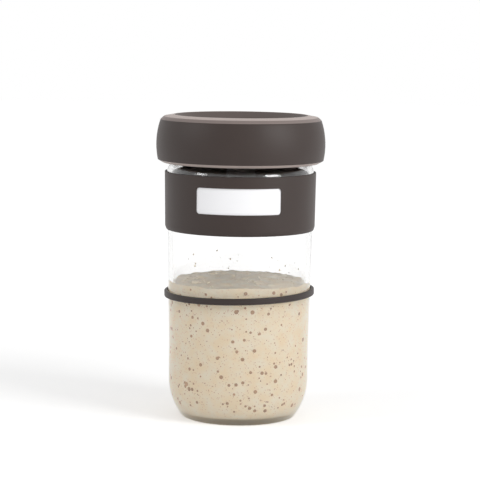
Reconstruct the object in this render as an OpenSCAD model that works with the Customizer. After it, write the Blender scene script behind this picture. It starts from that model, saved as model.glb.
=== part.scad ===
/* [Jar] */
// Height of the glass, from the table to its lip
jar_h = 174.2; // [170:0.2:180]
// Outside diameter of the straight lower wall
body_d = 82.5; // [80:0.5:84]
// Outside diameter where the flared wall meets the shoulder
shoulder_d = 86.5; // [86:0.1:87]
// Outside diameter of the neck, which the lid covers
neck_d = 81.8; // [79:0.2:83]
// Thickness of the glass wall
wall = 2.8; // [2.4:0.1:3.2]
// Thickness of the glass at the edge of the floor
floor_t = 5; // [3.5:0.5:7]
// Radius of the heel curve between the wall and the standing ring
heel_r = 37; // [30:1:38]
// Height where the heel curve ends and the straight wall begins
heel_h = 22.8; // [18:0.2:25]

/* [Starter] */
// Level of the starter at the glass, above the table
starter_level = 80.6; // [60:0.2:100]
// How far the middle of the starter stands above its edge
starter_dome = 1.6; // [0:0.2:4]
// Number of foam bubbles that show on the surface
bubble_count = 22; // [0:1:40]

/* [Lid] */
// Widest diameter of the lid
lid_d = 99; // [97:0.5:102]
// Height of the rim above the lip of the glass
rim_rise = 3.9; // [3.4:0.1:5]
// Depth of the skirt below the lip of the glass
skirt_drop = 24.3; // [20:0.1:26]
// Thickness of the skirt
skirt_t = 2.8; // [2:0.1:3.4]
// Depth of the dish in the top of the lid
dish_depth = 10; // [8:0.5:12]
// Depth of the plug below the lip of the glass
plug_drop = 20; // [17:0.5:22]
// Number of sealing ribs round the plug
rib_count = 3; // [1:1:3]

/* [Label sleeve] */
// Height of the sleeve
sleeve_h = 34; // [30:0.5:36]
// Outside diameter of the sleeve at its top edge
sleeve_top_d = 88.8; // [88.5:0.1:90]
// Outside diameter of the sleeve at its bottom edge
sleeve_bottom_d = 88; // [87.6:0.1:89]
// Angle that the label window spans round the jar
window_angle = 66.4; // [40:0.2:90]
// Height of the label window
window_h = 15; // [10:0.5:18]
// Corner radius of the label window
window_corner = 2; // [1:0.5:4]
// Angle that the sleeve is turned to the left of straight ahead
label_turn = 1.3; // [0:0.1:10]

/* [Marker ring] */
// Height of the middle of the marker ring above the table
ring_z = 73.8; // [60:0.2:80]
// Inside diameter of the marker ring
ring_bore = 84.4; // [84.2:0.2:86]
// Thickness of the marker ring from bore to outside
ring_t = 2; // [1.5:0.1:3]
// Height of the marker ring
ring_h = 3.7; // [2.5:0.1:5]
// Tilt of the marker ring, with its right side up
ring_tilt = 1.4; // [0:0.1:2]

/* [Hidden] */
$fn = 120;

body_r = body_d / 2;
neck_r = neck_d / 2;
shoulder_r = shoulder_d / 2;
flare_z = 45;
shoulder_z = jar_h - 28.6;
neck_z = jar_h - 24.2;
neck_wall = wall - 0.2;
lip_fillet = 1;

// The foot: the standing ring that the heel curve runs into, and the dome pushed up inside it
foot_fillet = 2;
foot_w = 2.2;
push_up = 2.2;
heel_c = [body_r - heel_r, heel_h];
foot_r = heel_c.x + sqrt(pow(heel_r - foot_fillet, 2) - pow(heel_h - foot_fillet, 2));
push_r = foot_r - foot_w;
push_sphere = (pow(push_r, 2) + pow(push_up, 2)) / (2 * push_up);

// The inside of the jar follows its outside, with a softer corner at the floor
floor_fillet = 7;
heel_in = heel_r - wall;
floor_c = [heel_c.x + sqrt(pow(heel_in - floor_fillet, 2) - pow(heel_h - floor_t - floor_fillet, 2)),
           floor_t + floor_fillet];
floor_rise = 0.8;

// Radii of the flared wall at a height, outside and inside
function glass_r(z) = body_r + (shoulder_r - body_r) * max(z - flare_z, 0) / (shoulder_z - flare_z);
function bore_r(z) = glass_r(z) - wall;

// Corners of an arc about a centre, ready for an outline
function arc(c, r, a0, a1, steps) =
    [for (i = [0:steps]) let (a = a0 + (a1 - a0) * i / steps) [c.x + r * cos(a), c.y + r * sin(a), 0]];

// The points that round one corner q, given as [r, z, fillet radius], between its neighbours p and s
function fillet(p, q, s) =
    q.z == 0 ? [[q.x, q.y]] :
    let (c = [q.x, q.y], u = unit([p.x, p.y] - c), v = unit([s.x, s.y] - c),
         half = acos(u * v) / 2, mid = c + unit(u + v) * q.z / sin(half),
         from = c + u * q.z / tan(half) - mid, to = c + v * q.z / tan(half) - mid,
         a0 = atan2(from.y, from.x), turn = wrap(atan2(to.y, to.x) - a0), steps = ceil(abs(turn) / 15))
    [for (i = [0:steps]) mid + q.z * [cos(a0 + turn * i / steps), sin(a0 + turn * i / steps)]];
function unit(v) = v / norm(v);
function wrap(a) = a > 180 ? a - 360 : a < -180 ? a + 360 : a;

// A closed outline from [r, z, fillet radius] corners
function outline(c) =
    let (n = len(c))
    [for (i = [0:n - 1]) each fillet(c[(i + n - 1) % n], c[i], c[(i + 1) % n])];

// A solid turned about the jar's axis from such corners
module turned(corners) {
    rotate_extrude() polygon(outline(corners));
}

// The inside of the jar from the middle of its floor to the end of the heel curve, drawn in by a gap
function bowl(gap) =
    let (a = atan2(floor_c.y - heel_h, floor_c.x - heel_c.x))
    [[0, floor_t + floor_rise + gap, 0],
     each arc(floor_c, floor_fillet - gap, -90, a, 5),
     each arc(heel_c, heel_in - gap, a, 0, 7)];

function reversed(list) = [for (i = [len(list) - 1:-1:0]) list[i]];

// One-piece glass jar: standing ring, heel curve, flared wall, rounded shoulder, neck and lip
module glass_jar() {
    a = atan2(foot_fillet - heel_h, foot_r - heel_c.x);
    color([0.86, 0.9, 0.9, 0.35]) turned([
        each arc([0, push_up - push_sphere], push_sphere, 90, 90 - asin(push_r / push_sphere), 6),
        each arc([foot_r, foot_fillet], foot_fillet, -90, a, 4),
        each arc(heel_c, heel_r, a, 0, 9),
        [body_r, flare_z, 0],
        [shoulder_r, shoulder_z, 5],
        [neck_r, neck_z, 3],
        [neck_r, jar_h, lip_fillet],
        [neck_r - neck_wall, jar_h, lip_fillet],
        [neck_r - neck_wall, neck_z - 0.8, 4],
        [shoulder_r - wall, shoulder_z - 0.8, 4],
        [body_r - wall, flare_z, 0],
        each reversed(bowl(0))]);
}

// Radius of the starter at its top edge, and the gap that keeps it off the glass
starter_gap = 0.05;
starter_r = bore_r(starter_level) - starter_gap;
dome_sphere = (pow(starter_r, 2) + pow(starter_dome, 2)) / (2 * max(starter_dome, 0.01));

// Height of the starter's domed surface at a radius
function starter_top(r) = starter_level + starter_dome - dome_sphere + sqrt(pow(dome_sphere, 2) - pow(r, 2));

// Foam bubbles spread over the surface by the golden angle, each sunk a little past its middle
golden_angle = 137.5;
foam_margin = 5;
bubble_r = 2.6;
bubble_vary = 1.4;
bubble_sink = 0.55;

// Sourdough starter: it fills the jar to its level, with foam bubbles that break through the surface
module starter() {
    color([0.9, 0.82, 0.7]) {
        turned([
            each bowl(starter_gap),
            [bore_r(flare_z) - starter_gap, flare_z, 0],
            [starter_r, starter_level, 0],
            for (i = [7:-1:0]) let (r = starter_r * i / 8) [r, starter_top(r), 0]]);
        for (i = [1:1:bubble_count]) {
            r = (starter_r - foam_margin) * sqrt(i / bubble_count);
            size = bubble_r + bubble_vary * sin(i * golden_angle / 2);
            rotate(i * golden_angle) translate([r, 0, starter_top(r) - bubble_sink * size]) sphere(size);
        }
    }
}

// The lid's outside is a barrel: one large arc between the two creases, widest a little below the middle
barrel_r = 44;
barrel_z = jar_h - 13.4;
rim_z = jar_h + rim_rise;
skirt_z = jar_h - skirt_drop;
rim_crease = 14.4;
skirt_crease = 9;
barrel_c = [lid_d / 2 - barrel_r, barrel_z];
crease_r = barrel_c.x + sqrt(pow(barrel_r, 2) - pow(rim_crease, 2));
edge_r = barrel_c.x + sqrt(pow(barrel_r, 2) - pow(skirt_crease, 2));
inner_r = barrel_r - skirt_t;

// The lid's plug stands clear inside the neck, and its ribs are what seal
neck_bore_r = neck_r - neck_wall;
plug_r = neck_bore_r - 1.1;
plug_t = 2;
rib_r = neck_bore_r - 0.2;
rib_h = 1.6;
rib_pitch = 4.6;
dish_r = plug_r - 1.7;
dish_t = 2.2;
dish_z = rim_z - dish_depth;

// The dish flares out to the rim, whose bevel runs down to the upper crease
flare = 3.6;
flare_h = 3.8;
bevel_w = 1.9;
bevel_h = 1.1;
// The skirt is turned in below the lower crease, and thins to a lip
turn_in = 3;
lip_t = 0.6;
lip_h = 0.9;
// The skirt's inside stops this many degrees short of each crease, and steps in to the ceiling
inner_trim = 3;
ceiling_in = 1.2;
first_rib = 5;

// One-piece silicone lid: bevelled rim and barrel skirt outside, dish on top, plug with sealing ribs inside
module lid() {
    top_angle = asin(rim_crease / barrel_r);
    low_angle = asin(skirt_crease / barrel_r);
    color([0.27, 0.23, 0.22]) turned([
        [0, dish_z, 0],
        [dish_r, dish_z, 3],
        [dish_r, rim_z - flare_h, 2.5],
        [dish_r + flare, rim_z, 0.5],
        [crease_r - bevel_w, rim_z - bevel_h, 0.8],
        each arc(barrel_c, barrel_r, top_angle, -low_angle, 10),
        [edge_r - turn_in, skirt_z, 0.4],
        [edge_r - turn_in - lip_t, skirt_z + lip_h, 0.4],
        each arc(barrel_c, inner_r, inner_trim - low_angle, top_angle - inner_trim, 8),
        [crease_r - skirt_t - ceiling_in, jar_h, 0.8],
        [plug_r, jar_h, 0.4],
        for (i = [0:1:rib_count - 1]) each sealing_rib(jar_h - first_rib - i * rib_pitch),
        [plug_r, jar_h - plug_drop, 0.9],
        [plug_r - plug_t, jar_h - plug_drop, 0.6],
        [plug_r - plug_t, dish_z - dish_t, 1.5],
        [0, dish_z - dish_t, 0]]);
}

// Corners of one sealing rib, from its top down: a lip that leans up towards the mouth
function sealing_rib(z) = [
    [plug_r, z, 0],
    [rib_r, z - 0.3, 0.25],
    [rib_r, z - rib_h / 2, 0.2],
    [plug_r, z - rib_h, 0]];

// The sleeve's top edge sits on the start of the shoulder, and its bore clears the flared glass
sleeve_z1 = shoulder_z - 0.6;
sleeve_z0 = sleeve_z1 - sleeve_h;
sleeve_gap = 0.2;
hem_t = 0.5;
hem_h = 1.9;
window_z = sleeve_z0 + sleeve_h * 0.585;
pocket_t = 0.45;
pocket_r = glass_r(window_z) + 0.8;
pocket_margin = 2.5;
pocket_angle = window_angle + 2 * asin(pocket_margin / shoulder_r);
pocket_h = window_h + 2 * pocket_margin;

// A block with rounded corners that tapers to the jar's axis, so a window is cut square to the surface
module window_block(angle, height, corner) {
    near = 20;
    far = 62;
    lean = asin(corner / shoulder_r);
    translate([0, 0, window_z]) hull()
        for (side = [-1, 1], end = [-1, 1])
            rotate(side * (angle / 2 - lean) - 90) translate([near, 0, end * (height / 2 - corner)])
                rotate([0, 90, 0]) cylinder(r = corner, h = far - near, $fn = 32);
}

// Silicone stretch sleeve with the label window, and the pocket behind it that holds the plate
module label_sleeve() {
    color([0.27, 0.23, 0.22]) rotate(-label_turn) difference() {
        turned([
            [glass_r(sleeve_z0) + sleeve_gap, sleeve_z0, 0.15],
            [glass_r(sleeve_z0) + sleeve_gap + hem_t, sleeve_z0, 0.3],
            [sleeve_bottom_d / 2, sleeve_z0 + hem_h, 4],
            [sleeve_top_d / 2, sleeve_z1, 0.45],
            [shoulder_r + sleeve_gap, sleeve_z1, 0.3]]);
        window_block(window_angle, window_h, window_corner);
        intersection() {
            window_block(pocket_angle, pocket_h, window_corner);
            cylinder(r = pocket_r, h = jar_h);
        }
    }
}

// White writing plate, curved to lie in the sleeve's pocket
module label_plate() {
    play = 0.05;
    color("white") rotate(-label_turn) intersection() {
        window_block(pocket_angle - 0.4, pocket_h - 0.4, window_corner);
        translate([0, 0, sleeve_z0]) difference() {
            cylinder(r = pocket_r - play, h = sleeve_h);
            translate([0, 0, -1]) cylinder(r = pocket_r - pocket_t, h = sleeve_h + 2);
        }
    }
}

// Silicone ring that marks the level: it slides along the glass and sits a little askew
module marker_ring() {
    r0 = ring_bore / 2;
    r1 = r0 + ring_t;
    color([0.22, 0.19, 0.18]) translate([0, 0, ring_z]) rotate([0, -ring_tilt, 0]) turned([
        [r0, -ring_h / 2, 0.5], [r1, -ring_h / 2, 0.6], [r1, ring_h / 2, 0.6], [r0, ring_h / 2, 0.5]]);
}

glass_jar();
starter();
lid();
label_sleeve();
label_plate();
marker_ring();
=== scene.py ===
from math import acos, asin, atan2, ceil, cos, degrees, hypot, pi, radians, sin, sqrt, tan

import bmesh
import bpy
from bpy.props import FloatProperty, FloatVectorProperty, IntProperty, PointerProperty
from mathutils import Matrix, Vector, noise


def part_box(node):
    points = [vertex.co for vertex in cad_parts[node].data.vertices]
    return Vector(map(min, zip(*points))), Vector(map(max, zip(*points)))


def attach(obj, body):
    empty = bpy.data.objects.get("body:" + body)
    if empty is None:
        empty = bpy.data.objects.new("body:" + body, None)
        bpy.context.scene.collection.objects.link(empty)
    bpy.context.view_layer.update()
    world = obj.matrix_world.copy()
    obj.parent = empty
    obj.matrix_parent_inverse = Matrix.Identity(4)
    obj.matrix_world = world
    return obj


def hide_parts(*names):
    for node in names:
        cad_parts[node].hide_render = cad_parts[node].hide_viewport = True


bl_info = {
    "name": "Sourdough Starter Jar",
    "version": (1, 0, 0),
    "blender": (4, 5, 0),
    "location": "View3D > Sidebar > Starter Jar",
    "description": "Builds a sourdough starter jar with its lid, label sleeve, marker ring and starter",
    "category": "Add Mesh",
}

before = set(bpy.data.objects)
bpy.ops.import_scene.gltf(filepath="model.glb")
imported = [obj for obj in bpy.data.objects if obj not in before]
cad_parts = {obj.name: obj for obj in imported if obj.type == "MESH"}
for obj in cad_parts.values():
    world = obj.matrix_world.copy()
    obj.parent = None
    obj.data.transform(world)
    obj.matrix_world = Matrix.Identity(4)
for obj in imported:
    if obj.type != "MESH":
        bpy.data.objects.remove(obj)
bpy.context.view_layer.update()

MM = 0.001
SEGMENTS = 192         # faces around each turned piece
SHARP = radians(35)    # faces that meet at more than this show an edge


def reach(node):
    """The radius that a turned CAD node keeps within on all four sides."""
    low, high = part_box(node)
    return min(-low.x, high.x, -low.y, high.y)


JAR_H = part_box("glass_jar")[1].z
LID_R = reach("lid")
RIM_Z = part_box("lid")[1].z
SKIRT_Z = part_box("lid")[0].z
SLEEVE_Z0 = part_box("label_sleeve")[0].z
SLEEVE_Z1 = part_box("label_sleeve")[1].z
RING_Z = (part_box("marker_ring")[0].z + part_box("marker_ring")[1].z) / 2


def linear(code):
    """An sRGB hex colour as linear RGBA."""
    parts = [int(code[i:i + 2], 16) / 255 for i in (1, 3, 5)]
    return [c / 12.92 if c <= 0.04045 else ((c + 0.055) / 1.055) ** 2.4 for c in parts] + [1.0]


def length(name, value, words):
    """A size property in metres."""
    return FloatProperty(name=name, description=words, default=value, unit="LENGTH", precision=5)


def tint(name, code, words):
    """A colour property with its default given as an sRGB hex colour."""
    return FloatVectorProperty(name=name, description=words, default=linear(code), size=4,
                               subtype="COLOR", min=0, max=1)


class JarSettings(bpy.types.PropertyGroup):
    body_r: length("Body radius", 41.25 * MM, "Outside radius of the straight lower wall")
    shoulder_r: length("Shoulder radius", 43.25 * MM, "Outside radius under the shoulder")
    neck_r: length("Neck radius", 40.9 * MM, "Outside radius of the neck")
    wall: length("Wall", 2.8 * MM, "Thickness of the glass wall")
    heel_r: length("Heel radius", 37 * MM, "Radius of the heel curve")
    heel_h: length("Heel height", 22.8 * MM, "Height where the heel curve ends")
    floor_t: length("Floor", 5 * MM, "Thickness of the glass at the edge of the floor")


class StarterSettings(bpy.types.PropertyGroup):
    level: length("Level", 80.6 * MM, "Height of the starter at the glass")
    dome: length("Dome", 1.6 * MM, "Rise of the middle of the starter above its edge")
    ripple: length("Ripple", 0.9 * MM, "Height of the lumps on the surface")
    dough: tint("Dough", "#fff4de", "Colour of the dough")
    # Hollow is the darker, browner colour painted into bubbles and pores, painted shade of their hollows
    hollow: tint("Hollow", "#c09c7c", "Colour inside a burst bubble")
    pits: IntProperty(name="Pits", description="Bubbles per square metre of glass", default=105000, min=0)
    seed: IntProperty(name="Seed", description="Seed of the bubbles", default=7)


class LidSettings(bpy.types.PropertyGroup):
    barrel_r: length("Barrel radius", 44 * MM, "Radius of the skirt's bulge")
    skirt_t: length("Skirt", 2.8 * MM, "Thickness of the skirt")
    dish_depth: length("Dish depth", 10 * MM, "Depth of the dish below the rim")
    plug_drop: length("Plug", 20 * MM, "Depth of the plug below the lip of the glass")
    side: tint("Side", "#2f2420", "Colour of the barrel side")
    # Edge, Bevel and Dish are paler copies of the Side's silicone, painted light: painted highlight and
    # painted reflection of the white floor on the rim and the lower bevel, a fainter painted highlight on
    # the bevel, painted light in the dish
    edge: tint("Edge", "#a89a94", "Colour of the rim and of the lower bevel")
    bevel: tint("Bevel", "#776b67", "Colour of the bevel above the dark side")
    dish: tint("Dish", "#544a46", "Colour of the dish")


class SleeveSettings(bpy.types.PropertyGroup):
    top_r: length("Top radius", 44.4 * MM, "Outside radius at the top edge")
    bottom_r: length("Bottom radius", 44 * MM, "Outside radius above the turned-in hem")
    window_angle: FloatProperty(name="Window angle", description="Angle that the window spans",
                                default=radians(66.4), subtype="ANGLE")
    window_h: length("Window height", 15 * MM, "Height of the label window")
    turn: FloatProperty(name="Turn", description="Angle that the sleeve is turned to the left",
                        default=radians(1.3), subtype="ANGLE")
    colour: tint("Silicone", "#2f2420", "Colour of the sleeve")
    label: tint("Label", "#f6f6f8", "Colour of the writing plate")


class RingSettings(bpy.types.PropertyGroup):
    bore: length("Bore radius", 42.2 * MM, "Inside radius of the marker ring")
    thick: length("Thickness", 2 * MM, "Thickness from bore to outside")
    height: length("Height", 3.7 * MM, "Height of the ring")
    tilt: FloatProperty(name="Tilt", description="Tilt with the right side up",
                        default=radians(1.4), subtype="ANGLE")
    colour: tint("Silicone", "#2a201d", "Colour of the ring")


class StageSettings(bpy.types.PropertyGroup):
    lens: FloatProperty(name="Lens", description="Focal length in millimetres", default=141.7, min=1)
    distance: length("Distance", 1105 * MM, "Distance of the camera in front of the axis")
    eye: length("Eye height", 236 * MM, "Height of the camera")
    down: FloatProperty(name="Tilt", description="Tilt down", default=radians(6.8), subtype="ANGLE")
    roll: FloatProperty(name="Roll", description="Roll", default=radians(0.68), subtype="ANGLE")
    key: FloatProperty(name="Key light", description="Power of the light at the right", default=8.6,
                       unit="POWER")
    side: FloatProperty(name="Side light", description="Power of the light at the left", default=2.6,
                        unit="POWER")
    sky: FloatProperty(name="Fill", description="Strength of the even light around", default=0.57)
    lift: FloatProperty(name="Floor lift", description="White added to the floor beside the jar",
                        default=0.3)
    far_lift: FloatProperty(name="Far lift", description="White added to the floor far away",
                            default=0.5)


# Outlines, as [radius, height, fillet radius] corners in metres

def arc(cr, cz, r, first, last, steps):
    """Corners along an arc about a centre, angles in radians."""
    angles = [first + (last - first) * i / steps for i in range(steps + 1)]
    return [(cr + r * cos(a), cz + r * sin(a), 0) for a in angles]


def fillet(before, corner, after):
    """The points that round one corner between its neighbours."""
    facet = 10    # degrees of the arc between two points
    c = Vector(corner[:2])
    radius = corner[2]
    if radius == 0:
        return [tuple(c)]
    u = (Vector(before[:2]) - c).normalized()
    v = (Vector(after[:2]) - c).normalized()
    half = acos(max(-1, min(1, u.dot(v)))) / 2
    middle = c + (u + v).normalized() * radius / sin(half)
    start = c + u * radius / tan(half) - middle
    end = c + v * radius / tan(half) - middle
    first = atan2(start.y, start.x)
    turn = (atan2(end.y, end.x) - first + pi) % (2 * pi) - pi
    steps = max(2, ceil(degrees(abs(turn)) / facet))
    angles = [first + turn * i / steps for i in range(steps + 1)]
    return [(middle.x + radius * cos(a), middle.y + radius * sin(a)) for a in angles]


def outline(corners):
    """A closed outline with its corners rounded."""
    n = len(corners)
    points = []
    for i in range(n):
        points += fillet(corners[i - 1], corners[i], corners[(i + 1) % n])
    return points


# Meshes

def new_object(name, bm):
    """An object from a bmesh, smooth except where faces meet at more than the sharp angle."""
    mesh = bpy.data.meshes.new(name)
    bm.to_mesh(mesh)
    bm.free()
    mesh.shade_smooth()
    mesh.set_sharp_from_angle(angle=SHARP)
    obj = bpy.data.objects.new(name, mesh)
    bpy.context.scene.collection.objects.link(obj)
    return obj


def lathe(name, points, closed=True):
    """Turns an outline about the jar's axis. Points on the axis become one vertex."""
    on_axis = 1e-7
    bm = bmesh.new()
    around = [2 * pi * i / SEGMENTS for i in range(SEGMENTS)]
    rings = []
    for r, z in points:
        if r < on_axis:
            rings.append([bm.verts.new((0, 0, z))] * SEGMENTS)
        else:
            rings.append([bm.verts.new((r * cos(a), r * sin(a), z)) for a in around])
    following = rings[1:] + rings[:1] if closed else rings[1:]
    for ring, after in zip(rings, following):
        for i in range(SEGMENTS):
            j = (i + 1) % SEGMENTS
            corners = list(dict.fromkeys((ring[i], ring[j], after[j], after[i])))
            if len(corners) > 2:
                bm.faces.new(corners)
    bmesh.ops.recalc_face_normals(bm, faces=bm.faces)
    return new_object(name, bm)


def drop(obj):
    """Removes a helper object."""
    bpy.data.objects.remove(obj)


def baked(obj):
    """The object with its modifiers turned into plain mesh."""
    bpy.context.view_layer.update()
    mesh = bpy.data.meshes.new_from_object(obj.evaluated_get(bpy.context.evaluated_depsgraph_get()))
    obj.modifiers.clear()
    obj.data = mesh
    return obj


def cut(obj, tool, operation):
    """Applies one boolean and removes the tool."""
    boolean = obj.modifiers.new("cut", "BOOLEAN")
    boolean.operation = operation
    boolean.object = tool
    boolean.solver = "EXACT"
    baked(obj)
    drop(tool)
    obj.data.set_sharp_from_angle(angle=SHARP)
    return obj


def place(obj, body, slot, material, *nodes):
    """Finishes a piece: its material, its body and the CAD nodes it stands for. Its slot is not used."""
    if material:
        obj.data.materials.clear()
        obj.data.materials.append(material)
    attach(obj, body)
    if nodes:
        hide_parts(*nodes)
    return obj


# Node trees

def add(tree, kind, settings=(), inputs=()):
    """Adds a node with its settings. An input is a value, or the socket that feeds it."""
    node = tree.nodes.new(kind)
    for key, value in dict(settings).items():
        setattr(node, key, value)
    for key, value in dict(inputs).items():
        if isinstance(value, bpy.types.NodeSocket):
            tree.links.new(value, node.inputs[key])
        else:
            node.inputs[key].default_value = value
    return node


def blank(name):
    """A material with an empty tree, its output and its object coordinates."""
    material = bpy.data.materials.new(name)
    material.use_nodes = True
    tree = material.node_tree
    tree.nodes.clear()
    coordinates = add(tree, "ShaderNodeTexCoord").outputs["Object"]
    return material, tree, coordinates


def finished(tree, shader, volume=None):
    """Links a shader, and a volume where there is one, to the material's output."""
    out = add(tree, "ShaderNodeOutputMaterial", (), {"Surface": shader.outputs[0]})
    if volume:
        tree.links.new(volume.outputs[0], out.inputs["Volume"])


def mixed(tree, factor, first, second):
    """Mixes two colours, and returns the colour socket.

    The node has sockets of the same name for each data type, so its colour sockets are picked by type.
    """
    mix = add(tree, "ShaderNodeMix", {"data_type": "RGBA"}, {"Factor": factor})
    colours = [socket for socket in mix.inputs if socket.type == "RGBA"]
    for socket, colour in zip(colours, (first, second)):
        if isinstance(colour, bpy.types.NodeSocket):
            tree.links.new(colour, socket)
        else:
            socket.default_value = colour
    return [socket for socket in mix.outputs if socket.type == "RGBA"][0]


def silicone(name, colour):
    """Moulded silicone: satin, with a fine spark-eroded grain and a dry bloom, paler at an angle."""
    grain = 0.35 * MM
    grain_depth = 0.03 * MM
    handling = 14 * MM     # width of the patches that hands have rubbed
    bloom, dust = 1.2, 0.004
    material, tree, co = blank(name)
    fine = add(tree, "ShaderNodeTexNoise", (), {"Vector": co, "Scale": 1 / grain, "Detail": 2})
    cloud = add(tree, "ShaderNodeTexNoise", (), {"Vector": co, "Scale": 1 / handling, "Detail": 4})
    dusty = [min(1, c * bloom + dust) for c in colour[:3]] + [1]
    blend = mixed(tree, cloud.outputs["Fac"], colour, dusty)
    rough = add(tree, "ShaderNodeMapRange", (), {
        "Value": cloud.outputs["Fac"], "To Min": 0.46, "To Max": 0.6})
    bump = add(tree, "ShaderNodeBump", (), {
        "Height": fine.outputs["Fac"], "Strength": 0.25, "Distance": grain_depth})
    shader = add(tree, "ShaderNodeBsdfPrincipled", (), {
        "Base Color": blend, "Roughness": rough.outputs["Result"], "IOR": 1.41,
        "Sheen Weight": 0.05, "Sheen Roughness": 0.5, "Normal": bump.outputs["Normal"]})
    finished(tree, shader)
    return material


def pressed_glass():
    """Soda-lime glass, pressed and fire polished: clear, faintly wavy, darker where it is seen edgeways."""
    waves = 16 * MM
    wave_depth = 0.12 * MM
    material, tree, co = blank("soda-lime glass, pressed")
    wave = add(tree, "ShaderNodeTexNoise", (), {"Vector": co, "Scale": 1 / waves, "Detail": 1})
    bump = add(tree, "ShaderNodeBump", (), {
        "Height": wave.outputs["Fac"], "Strength": 0.3, "Distance": wave_depth})
    shader = add(tree, "ShaderNodeBsdfPrincipled", (), {
        "Base Color": (1, 1, 1, 1), "Roughness": 0.01, "IOR": 1.52, "Transmission Weight": 1.0,
        "Normal": bump.outputs["Normal"]})
    volume = add(tree, "ShaderNodeVolumeAbsorption", (), {
        "Color": linear("#cac9c6"), "Density": 30.0})
    finished(tree, shader, volume)
    return material


def dough_skin(settings):
    """Wet flour dough: creamy and moist, mottled in lumps, with small open pores."""
    bubble = 1.1 * MM
    bubble_depth = 0.3 * MM
    pore_gap = 1.7 * MM
    lump = 7 * MM
    warm = (1.0, 0.93, 0.84)    # share of red, green and blue left in the browner lumps
    material, tree, co = blank("wet flour dough")
    cells = add(tree, "ShaderNodeTexVoronoi", {"feature": "SMOOTH_F1"}, {
        "Vector": co, "Scale": 1 / bubble})
    lumps = add(tree, "ShaderNodeTexNoise", (), {"Vector": co, "Scale": 1 / lump, "Detail": 6})
    dark = [c * share for c, share in zip(settings.dough, warm)] + [1]
    tone = add(tree, "ShaderNodeMapRange", (), {
        "Value": lumps.outputs["Fac"], "From Min": 0.35, "From Max": 0.65})
    blend = mixed(tree, tone.outputs["Result"], dark, settings.dough)
    bump = add(tree, "ShaderNodeBump", (), {
        "Height": cells.outputs["Distance"], "Strength": 0.5, "Distance": bubble_depth})
    pore = add(tree, "ShaderNodeTexVoronoi", (), {"Vector": co, "Scale": 1 / pore_gap})
    # Open pores turn towards the hollow colour: painted shade in the pores
    open_pore = add(tree, "ShaderNodeMapRange", (), {
        "Value": pore.outputs["Distance"], "From Min": 0.1, "From Max": 0.26,
        "To Min": 0.4, "To Max": 0.0})
    pored = mixed(tree, open_pore.outputs["Result"], blend, settings.hollow)
    shader = add(tree, "ShaderNodeBsdfPrincipled", (), {
        "Base Color": pored, "Roughness": 0.5, "IOR": 1.38, "Normal": bump.outputs["Normal"]})
    finished(tree, shader)
    return material


def bubble_hollow(settings):
    """The inside of a bubble against the glass: darker and browner than the dough, painted shade of its
    hollow.
    """
    patch = 4 * MM
    # Deeper bubbles are painted darker: painted shade, spread by the noise over the flat grains
    deep, shallow = 0.62, 1.5    # brightness of the deepest and the shallowest bubbles
    material, tree, co = blank("dough in a burst bubble")
    vary = add(tree, "ShaderNodeTexNoise", (), {"Vector": co, "Scale": 1 / patch, "Detail": 2})
    dark = [c * deep for c in settings.hollow[:3]] + [1]
    pale = [min(1, c * shallow) for c in settings.hollow[:3]] + [1]
    blend = mixed(tree, vary.outputs["Fac"], dark, pale)
    finished(tree, add(tree, "ShaderNodeBsdfPrincipled", (), {"Base Color": blend, "Roughness": 0.6}))
    return material


def label_film(colour):
    """Matt writable polypropylene film: even white with a faint tooth that takes a pen."""
    tooth_w, tooth_depth = 0.3 * MM, 0.02 * MM
    material, tree, co = blank("matt polypropylene film")
    tooth = add(tree, "ShaderNodeTexNoise", (), {"Vector": co, "Scale": 1 / tooth_w})
    bump = add(tree, "ShaderNodeBump", (), {
        "Height": tooth.outputs["Fac"], "Strength": 0.1, "Distance": tooth_depth})
    finished(tree, add(tree, "ShaderNodeBsdfPrincipled", (), {
        "Base Color": list(colour), "Roughness": 0.55, "IOR": 1.49, "Normal": bump.outputs["Normal"]}))
    return material


def speck_tree(name, material):
    """Scatters flattened grains over a surface, mostly small, by a fixed seed."""
    rarity = 8.0    # the power that makes large grains rare
    tree = bpy.data.node_groups.new(name, "GeometryNodeTree")
    for label, kind in (("Surface", "Geometry"), ("Density", "Float"), ("Smallest", "Float"),
                        ("Largest", "Float"), ("Flatness", "Float"), ("Seed", "Int")):
        tree.interface.new_socket(label, in_out="INPUT", socket_type="NodeSocket" + kind)
    tree.interface.new_socket("Grains", in_out="OUTPUT", socket_type="NodeSocketGeometry")
    given = add(tree, "NodeGroupInput").outputs
    points = add(tree, "GeometryNodeDistributePointsOnFaces", (), {
        "Mesh": given["Surface"], "Density": given["Density"], "Seed": given["Seed"]})
    chance = add(tree, "FunctionNodeRandomValue", {"data_type": "FLOAT"}, {"Seed": given["Seed"]})
    rare = add(tree, "ShaderNodeMath", {"operation": "POWER"}, {0: chance.outputs[1], 1: rarity})
    size = add(tree, "ShaderNodeMapRange", (), {
        "Value": rare.outputs[0], "To Min": given["Smallest"], "To Max": given["Largest"]})
    thin = add(tree, "ShaderNodeMath", {"operation": "MULTIPLY"}, {
        0: size.outputs["Result"], 1: given["Flatness"]})
    scale = add(tree, "ShaderNodeCombineXYZ", (), {
        "X": size.outputs["Result"], "Y": size.outputs["Result"], "Z": thin.outputs[0]})
    grain = add(tree, "GeometryNodeMeshIcoSphere", (), {"Radius": 1.0, "Subdivisions": 2})
    placed = add(tree, "GeometryNodeInstanceOnPoints", (), {
        "Points": points.outputs["Points"], "Instance": grain.outputs["Mesh"],
        "Rotation": points.outputs["Rotation"], "Scale": scale.outputs["Vector"]})
    real = add(tree, "GeometryNodeRealizeInstances", (), {"Geometry": placed.outputs[0]})
    smooth = add(tree, "GeometryNodeSetShadeSmooth", (), {0: real.outputs[0]})
    dressed = add(tree, "GeometryNodeSetMaterial", (), {"Geometry": smooth.outputs[0], "Material": material})
    add(tree, "NodeGroupOutput", (), {"Grains": dressed.outputs[0]})
    return tree


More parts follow.
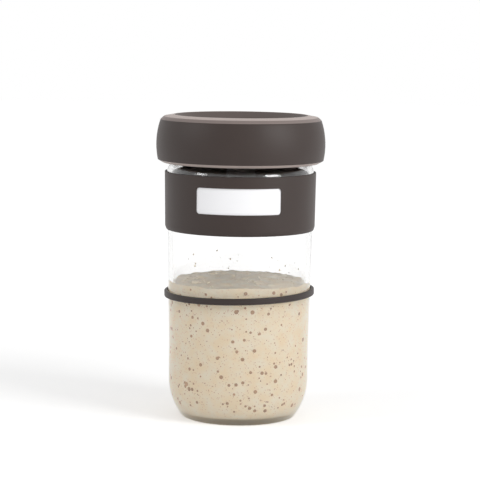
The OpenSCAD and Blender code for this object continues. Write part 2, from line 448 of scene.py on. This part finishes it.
def scatter(obj, material, **inputs):
    """Turns a carrier surface into the grains scattered over it."""
    tree = speck_tree(obj.name + " grains", material)
    modifier = obj.modifiers.new("grains", "NODES")
    modifier.node_group = tree
    for item in tree.interface.items_tree:
        if item.in_out == "INPUT" and item.name in inputs:
            modifier[item.identifier] = inputs[item.name]
    return baked(obj)


# The jar's own shape, shared by the glass and what lies against it

FLARE_Z = 45 * MM
SHOULDER_Z = JAR_H - 28.6 * MM
NECK_Z = JAR_H - 24.2 * MM


def glass_r(jar, z):
    """Outside radius of the flared wall at a height."""
    return jar.body_r + (jar.shoulder_r - jar.body_r) * max(z - FLARE_Z, 0) / (SHOULDER_Z - FLARE_Z)


def neck_bore(jar):
    """Inside radius of the neck, whose wall is a little thinner than the body's."""
    thinner = 0.2 * MM
    return jar.neck_r - jar.wall + thinner


def bowl(jar, gap):
    """The inside from the middle of the floor to the end of the heel curve, drawn in by a gap."""
    corner = 7 * MM
    rise = 0.8 * MM
    centre_r = jar.body_r - jar.heel_r
    inner = jar.heel_r - jar.wall
    z = jar.floor_t + corner
    r = centre_r + sqrt((inner - corner) ** 2 - (jar.heel_h - z) ** 2)
    a = atan2(z - jar.heel_h, r - centre_r)
    return [(0, jar.floor_t + rise + gap, 0), *arc(r, z, corner - gap, -pi / 2, a, 6),
            *arc(centre_r, jar.heel_h, inner - gap, a, 0, 12)]


class JAR_OT_glass(bpy.types.Operator):
    """Builds the glass jar"""
    bl_idname = "starter_jar.glass"
    bl_label = "Glass Jar"

    def execute(self, context):
        jar = context.scene.jar_glass
        foot = 2 * MM          # rounding of the standing ring
        ring_w = 2.2 * MM      # from the ring's lowest line to the pushed-up base
        push_up = 2.2 * MM
        inner_drop = 0.8 * MM  # the inside turns this much lower than the outside
        lip = 1 * MM
        centre_r = jar.body_r - jar.heel_r
        foot_r = centre_r + sqrt((jar.heel_r - foot) ** 2 - (jar.heel_h - foot) ** 2)
        push_r = foot_r - ring_w
        sphere = (push_r ** 2 + push_up ** 2) / (2 * push_up)
        a = atan2(foot - jar.heel_h, foot_r - centre_r)
        neck_in = neck_bore(jar)
        corners = [
            *arc(0, push_up - sphere, sphere, pi / 2, pi / 2 - asin(push_r / sphere), 8),
            *arc(foot_r, foot, foot, -pi / 2, a, 6),
            *arc(centre_r, jar.heel_h, jar.heel_r, a, 0, 16),
            (jar.body_r, FLARE_Z, 0),
            (jar.shoulder_r, SHOULDER_Z, 5 * MM),
            (jar.neck_r, NECK_Z, 3 * MM),
            (jar.neck_r, JAR_H, lip),
            (neck_in, JAR_H, lip),
            (neck_in, NECK_Z - inner_drop, 4 * MM),
            (jar.shoulder_r - jar.wall, SHOULDER_Z - inner_drop, 4 * MM),
            (jar.body_r - jar.wall, FLARE_Z, 0),
            *reversed(bowl(jar, 0))]
        glass = lathe("jar_glass", outline(corners))
        place(glass, "jar", "clear_glass", pressed_glass(), "glass_jar")
        return {"FINISHED"}


class JAR_OT_starter(bpy.types.Operator):
    """Builds the starter, its bubbles against the glass, its foam and the specks above it"""
    bl_idname = "starter_jar.starter"
    bl_label = "Starter"

    def execute(self, context):
        jar, starter = context.scene.jar_glass, context.scene.jar_starter
        # The dough wets the glass: it reaches a little into the wall, so no air gap shows between them
        wet = 0.06 * MM
        edge_r = glass_r(jar, starter.level) - jar.wall + wet
        sphere = (edge_r ** 2 + starter.dome ** 2) / (2 * starter.dome)
        rings = 40
        big, small = 6 * MM, 2.5 * MM    # widths of the lumps on the surface
        skin_h = 1 * MM                  # how far below the level the lumps reach
        pits_from = 9 * MM               # lowest bubbles against the glass
        pits_below = 1.5 * MM            # from the level down to the highest of them
        foam_in = 3 * MM                 # from the glass to the foam
        specks_from, specks_to = 1 * MM, 13 * MM    # above the level

        def top(r):
            return starter.level + starter.dome - sphere + sqrt(sphere ** 2 - r ** 2)

        radii = [edge_r * i / rings for i in range(rings, -1, -1)]
        corners = [*bowl(jar, -wet), (glass_r(jar, FLARE_Z) - jar.wall + wet, FLARE_Z, 0)]
        dough = lathe("starter_dough", outline(corners) + [(r, top(r)) for r in radii])
        skin = dough_skin(starter)
        for v in dough.data.vertices:
            if v.co.z > starter.level - skin_h:
                lump = noise.noise(v.co / big) + 0.5 * noise.noise(v.co / small)
                v.co.z += starter.ripple * lump
        place(dough, "jar", "starter", skin, "starter")

        wall = [point[:2] for point in bowl(jar, -wet) if point[1] > pits_from]
        wall += [(glass_r(jar, z) - jar.wall + wet, z) for z in (FLARE_Z, starter.level - pits_below)]
        pits = scatter(lathe("starter_pits", wall, closed=False), bubble_hollow(starter),
                       Density=float(starter.pits), Smallest=0.2 * MM, Largest=1.25 * MM,
                       Flatness=0.09, Seed=starter.seed)
        place(pits, "jar", "starter", None)

        surface = [(r, top(r)) for r in radii if r < edge_r - foam_in]
        foam = scatter(lathe("starter_foam", surface, closed=False), skin,
                       Density=22000.0, Smallest=0.5 * MM, Largest=2.6 * MM, Flatness=0.5,
                       Seed=starter.seed + 1)
        place(foam, "jar", "starter", None)

        heights = (starter.level + specks_from, starter.level + specks_to)
        inside = [(glass_r(jar, z) - jar.wall, z) for z in heights]
        specks = scatter(lathe("starter_specks", inside, closed=False), skin,
                         Density=65000.0, Smallest=0.12 * MM, Largest=0.7 * MM, Flatness=0.25,
                         Seed=starter.seed + 2)
        place(specks, "jar", "starter", None)
        return {"FINISHED"}


class JAR_OT_lid(bpy.types.Operator):
    """Builds the silicone lid, with its dish, barrel skirt, plug and sealing ribs"""
    bl_idname = "starter_jar.lid"
    bl_label = "Lid"

    def execute(self, context):
        jar, lid = context.scene.jar_glass, context.scene.jar_lid
        # The widest height of the barrel, and its two creases above and below that
        barrel_z = JAR_H - 13.4 * MM
        crease_up, crease_down = 14.4 * MM, 9 * MM
        bevel_w, bevel_h = 1.9 * MM, 1.1 * MM
        flare, flare_h = 3.6 * MM, 3.8 * MM
        # The lower edge turns in under the skirt and ends in a lip
        turn_in, lip_t, lip_h = 3 * MM, 0.6 * MM, 0.9 * MM
        inner_trim = radians(3)
        ceiling_in = 1.2 * MM
        plug_gap, plug_t = 1.1 * MM, 2 * MM
        dish_wall, dish_t = 1.7 * MM, 2.2 * MM
        # A rib leans: below its root on the plug come its tip's top, its tip's end and its foot
        rib_count, first_rib, rib_pitch, rib_play = 3, 5 * MM, 4.6 * MM, 0.2 * MM
        tip_top, tip_end, rib_foot = 0.3 * MM, 0.8 * MM, 1.6 * MM

        centre_r = LID_R - lid.barrel_r
        high = asin(crease_up / lid.barrel_r)
        low = asin(crease_down / lid.barrel_r)
        crease_r = centre_r + lid.barrel_r * cos(high)
        edge_r = centre_r + lid.barrel_r * cos(low)
        bore = neck_bore(jar)
        plug_r = bore - plug_gap
        dish_r = plug_r - dish_wall
        dish_z = RIM_Z - lid.dish_depth
        plug_z = JAR_H - lid.plug_drop
        ribs = []
        for i in range(rib_count):
            z = JAR_H - first_rib - rib_pitch * i
            ribs += [(plug_r, z, 0), (bore - rib_play, z - tip_top, 0.25 * MM),
                     (bore - rib_play, z - tip_end, 0.2 * MM), (plug_r, z - rib_foot, 0)]
        points = outline([
            (0, dish_z, 0),
            (dish_r, dish_z, 3 * MM),
            (dish_r, RIM_Z - flare_h, 2.5 * MM),
            (dish_r + flare, RIM_Z, 0.5 * MM),
            (crease_r - bevel_w, RIM_Z - bevel_h, 0.8 * MM),
            *arc(centre_r, barrel_z, lid.barrel_r, high, -low, 24),
            (edge_r - turn_in, SKIRT_Z, 0.4 * MM),
            (edge_r - turn_in - lip_t, SKIRT_Z + lip_h, 0.4 * MM),
            *arc(centre_r, barrel_z, lid.barrel_r - lid.skirt_t, inner_trim - low, high - inner_trim, 12),
            (crease_r - lid.skirt_t - ceiling_in, JAR_H, 0.8 * MM),
            (plug_r, JAR_H, 0.4 * MM),
            *ribs,
            (plug_r, plug_z, 0.9 * MM),
            (plug_r - plug_t, plug_z, 0.6 * MM),
            (plug_r - plug_t, dish_z - dish_t, 1.5 * MM),
            (0, dish_z - dish_t, 0)])
        shell = lathe("lid_silicone", points)
        # One silicone in four materials: the Side colour is its own, the other three are painted highlight
        # and painted light
        place(shell, "lid", "lid_silicone", silicone("moulded silicone, painted_highlight", lid.edge), "lid")
        shell.data.materials.append(silicone("moulded silicone, dark band", lid.side))
        shell.data.materials.append(silicone("moulded silicone, bevel", lid.bevel))
        shell.data.materials.append(silicone("moulded silicone, dish", lid.dish))
        # The barrel side between the two creases keeps the silicone's own dark colour. The paler bevel over
        # it is a painted highlight, the rim and the lower bevel carry a painted highlight and painted
        # reflection of the white floor, and the dish a painted mid tone of lit silicone
        near, on_arc = 0.1 * MM, 0.3 * MM
        for face in shell.data.polygons:
            r = hypot(face.center.x, face.center.y)
            off_arc = abs(hypot(r - centre_r, face.center.z - barrel_z) - lid.barrel_r)
            between = barrel_z - crease_down < face.center.z < barrel_z + crease_up
            above = r > crease_r - bevel_w and face.center.z > barrel_z + crease_up
            in_dish = r < dish_r + flare - near and face.center.z > dish_z - near
            on_side = off_arc < on_arc and between
            face.material_index = 1 if on_side else 2 if above else 3 if in_dish else 0
        return {"FINISHED"}


def window_block(name, angle, height, corner, middle_z, turn):
    """A block with rounded corners that tapers to the axis, so it cuts square to the surface."""
    face_r = 43.25 * MM              # radius where the corners have their true size
    inner, outer = 20 * MM, 62 * MM  # how far the block reaches from the axis
    steps = 32
    lean = asin(corner / face_r)
    bm = bmesh.new()
    for side in (-1, 1):
        for end in (-1, 1):
            spin = Matrix.Rotation(side * (angle / 2 - lean) - pi / 2 - turn, 4, "Z")
            for i in range(steps):
                a = 2 * pi * i / steps
                for r in (inner, outer):
                    point = Vector((r, corner * cos(a), end * (height / 2 - corner) + corner * sin(a)))
                    bm.verts.new(spin @ point + Vector((0, 0, middle_z)))
    bmesh.ops.convex_hull(bm, input=bm.verts)
    loose = [v for v in bm.verts if not v.link_faces]
    bmesh.ops.delete(bm, geom=loose, context="VERTS")
    bmesh.ops.recalc_face_normals(bm, faces=bm.faces)
    return new_object(name, bm)


class JAR_OT_sleeve(bpy.types.Operator):
    """Builds the label sleeve with its window, and the writing plate behind it"""
    bl_idname = "starter_jar.sleeve"
    bl_label = "Label Sleeve"

    def execute(self, context):
        jar, sleeve = context.scene.jar_glass, context.scene.jar_sleeve
        gap = 0.2 * MM
        hem_t, hem_h = 0.5 * MM, 1.9 * MM
        window_share = 0.585       # height of the window's middle, as a share of the sleeve's
        pocket_gap = 0.8 * MM      # from the glass to the pocket's outer wall
        margin = 2.5 * MM          # how far the pocket reaches past the window
        corner = 2 * MM
        beyond = 5 * MM            # how far the pocket's cutter reaches past the sleeve
        play, plate_t = 0.05 * MM, 0.4 * MM
        slack, slack_angle = 0.4 * MM, radians(0.4)
        bore = glass_r(jar, SLEEVE_Z0) + gap
        window_z = SLEEVE_Z0 + (SLEEVE_Z1 - SLEEVE_Z0) * window_share
        pocket_r = glass_r(jar, window_z) + pocket_gap
        pocket_angle = sleeve.window_angle + 2 * asin(margin / jar.shoulder_r)
        pocket_h = sleeve.window_h + 2 * margin
        band = lathe("label_sleeve_silicone", outline([
            (bore, SLEEVE_Z0, 0.15 * MM),
            (bore + hem_t, SLEEVE_Z0, 0.3 * MM),
            (sleeve.bottom_r, SLEEVE_Z0 + hem_h, 4 * MM),
            (sleeve.top_r, SLEEVE_Z1, 0.45 * MM),
            (jar.shoulder_r + gap, SLEEVE_Z1, 0.3 * MM)]))
        cut(band, window_block("window", sleeve.window_angle, sleeve.window_h, corner, window_z,
                               sleeve.turn), "DIFFERENCE")
        low, high = SLEEVE_Z0 - beyond, SLEEVE_Z1 + beyond
        pocket = lathe("pocket", [(0, low), (pocket_r, low), (pocket_r, high), (0, high)])
        cut(pocket, window_block("pocket block", pocket_angle, pocket_h, corner, window_z,
                                 sleeve.turn), "INTERSECT")
        cut(band, pocket, "DIFFERENCE")
        place(band, "sleeve", "sleeve_silicone",
              silicone("moulded silicone, sleeve", sleeve.colour), "label_sleeve")

        front = pocket_r - play
        back = front - plate_t
        plate = lathe("label_plate_film", [
            (back, SLEEVE_Z0), (front, SLEEVE_Z0), (front, SLEEVE_Z1), (back, SLEEVE_Z1)])
        cut(plate, window_block("plate block", pocket_angle - slack_angle, pocket_h - slack,
                                corner, window_z, sleeve.turn), "INTERSECT")
        place(plate, "sleeve", "label_white", label_film(sleeve.label), "label_plate")
        return {"FINISHED"}


class JAR_OT_ring(bpy.types.Operator):
    """Builds the marker ring"""
    bl_idname = "starter_jar.ring"
    bl_label = "Marker Ring"

    def execute(self, context):
        ring = context.scene.jar_ring
        outside = ring.bore + ring.thick
        half = ring.height / 2
        band = lathe("marker_ring_silicone", outline([
            (ring.bore, -half, 0.5 * MM), (outside, -half, 0.6 * MM),
            (outside, half, 0.6 * MM), (ring.bore, half, 0.5 * MM)]))
        band.data.transform(Matrix.Translation((0, 0, RING_Z)) @ Matrix.Rotation(-ring.tilt, 4, "Y"))
        place(band, "ring", "ring_silicone",
              silicone("moulded silicone, ring", ring.colour), "marker_ring")
        return {"FINISHED"}


def bright_for_eye(tree):
    """A factor of 1 for rays that show the background: seen directly, mirrored or through glass."""
    path = add(tree, "ShaderNodeLightPath").outputs
    seen = add(tree, "ShaderNodeMath", {"operation": "MAXIMUM"}, {
        0: path["Is Camera Ray"], 1: path["Is Glossy Ray"]})
    return add(tree, "ShaderNodeMath", {"operation": "MAXIMUM"}, {
        0: seen.outputs[0], 1: path["Is Transmission Ray"]}).outputs[0]


class JAR_OT_stage(bpy.types.Operator):
    """Sets up the floor, the soft light and the camera"""
    bl_idname = "starter_jar.stage"
    bl_label = "Stage"

    def execute(self, context):
        stage = context.scene.jar_stage
        scene = context.scene
        scene.view_settings.view_transform = "Standard"
        paper_r = 4.0
        near, far = 0.2, 0.7    # from the middle of the floor to where its lift starts and ends
        aim = Vector((0, 0, 0.09))
        # Each lamp's place, the width of its square face and its power
        lamps = {"key": ((0.95, -0.7, 0.6), 0.5, stage.key),
                 "side": ((-1.0, -0.4, 0.65), 0.35, stage.side)}
        camera_x = 0.18 * MM

        world = bpy.data.worlds.new("studio")
        scene.world = world
        world.use_nodes = True
        tree = world.node_tree
        tree.nodes.clear()
        strength = add(tree, "ShaderNodeMapRange", (), {
            "Value": bright_for_eye(tree), "To Min": stage.sky, "To Max": 1.0})
        light = add(tree, "ShaderNodeBackground", (), {
            "Color": (1, 1, 1, 1), "Strength": strength.outputs["Result"]})
        add(tree, "ShaderNodeOutputWorld", (), {"Surface": light.outputs[0]})

        bm = bmesh.new()
        bmesh.ops.create_circle(bm, cap_ends=True, radius=paper_r, segments=64)
        floor = new_object("floor", bm)
        paper, tree, co = blank("white paper sweep")
        matt = add(tree, "ShaderNodeBsdfDiffuse", (), {"Color": (0.9, 0.9, 0.9, 1)})
        # The paper is lifted to white away from the jar, and less beside it, where its shadow falls
        away = add(tree, "ShaderNodeVectorMath", {"operation": "LENGTH"}, {0: co})
        white = add(tree, "ShaderNodeMapRange", (), {
            "Value": away.outputs["Value"], "From Min": near, "From Max": far,
            "To Min": stage.lift, "To Max": stage.far_lift})
        lift = add(tree, "ShaderNodeMath", {"operation": "MULTIPLY"}, {
            0: bright_for_eye(tree), 1: white.outputs["Result"]})
        glow = add(tree, "ShaderNodeEmission", (), {"Strength": lift.outputs[0]})
        both = add(tree, "ShaderNodeAddShader", (), {0: matt.outputs[0], 1: glow.outputs[0]})
        finished(tree, both)
        floor.data.materials.append(paper)

        for name, (spot, size, power) in lamps.items():
            lamp = bpy.data.lights.new(name, "AREA")
            lamp.size = size
            lamp.energy = power
            holder = bpy.data.objects.new(name, lamp)
            holder.location = spot
            holder.rotation_euler = (aim - Vector(spot)).to_track_quat("-Z", "Y").to_euler()
            scene.collection.objects.link(holder)

        view = bpy.data.cameras.new("camera")
        view.lens = stage.lens
        view.sensor_width = 36
        camera = bpy.data.objects.new("camera", view)
        camera.matrix_world = (Matrix.Translation((camera_x, -stage.distance, stage.eye))
                               @ Matrix.Rotation(pi / 2 - stage.down, 4, "X")
                               @ Matrix.Rotation(stage.roll, 4, "Z"))
        scene.collection.objects.link(camera)
        scene.camera = camera
        return {"FINISHED"}


class JAR_PT_panel(bpy.types.Panel):
    """Lists the jar's pieces"""
    bl_idname = "JAR_PT_panel"
    bl_label = "Starter Jar"
    bl_space_type = "VIEW_3D"
    bl_region_type = "UI"
    bl_category = "Starter Jar"

    def draw(self, context):
        for operator in OPERATORS:
            self.layout.operator(operator.bl_idname)


SETTINGS = {"jar_glass": JarSettings, "jar_starter": StarterSettings, "jar_lid": LidSettings,
            "jar_sleeve": SleeveSettings, "jar_ring": RingSettings, "jar_stage": StageSettings}
OPERATORS = (JAR_OT_stage, JAR_OT_glass, JAR_OT_starter, JAR_OT_lid, JAR_OT_sleeve, JAR_OT_ring)
CLASSES = (*SETTINGS.values(), *OPERATORS, JAR_PT_panel)


def register():
    for cls in CLASSES:
        bpy.utils.register_class(cls)
    for name, cls in SETTINGS.items():
        setattr(bpy.types.Scene, name, PointerProperty(type=cls))


def unregister():
    for name in SETTINGS:
        delattr(bpy.types.Scene, name)
    for cls in reversed(CLASSES):
        bpy.utils.unregister_class(cls)


def main():
    register()
    bpy.ops.starter_jar.stage()
    bpy.ops.starter_jar.glass()
    bpy.ops.starter_jar.starter()
    bpy.ops.starter_jar.lid()
    bpy.ops.starter_jar.sleeve()
    bpy.ops.starter_jar.ring()


if __name__ == "__main__":
    main()
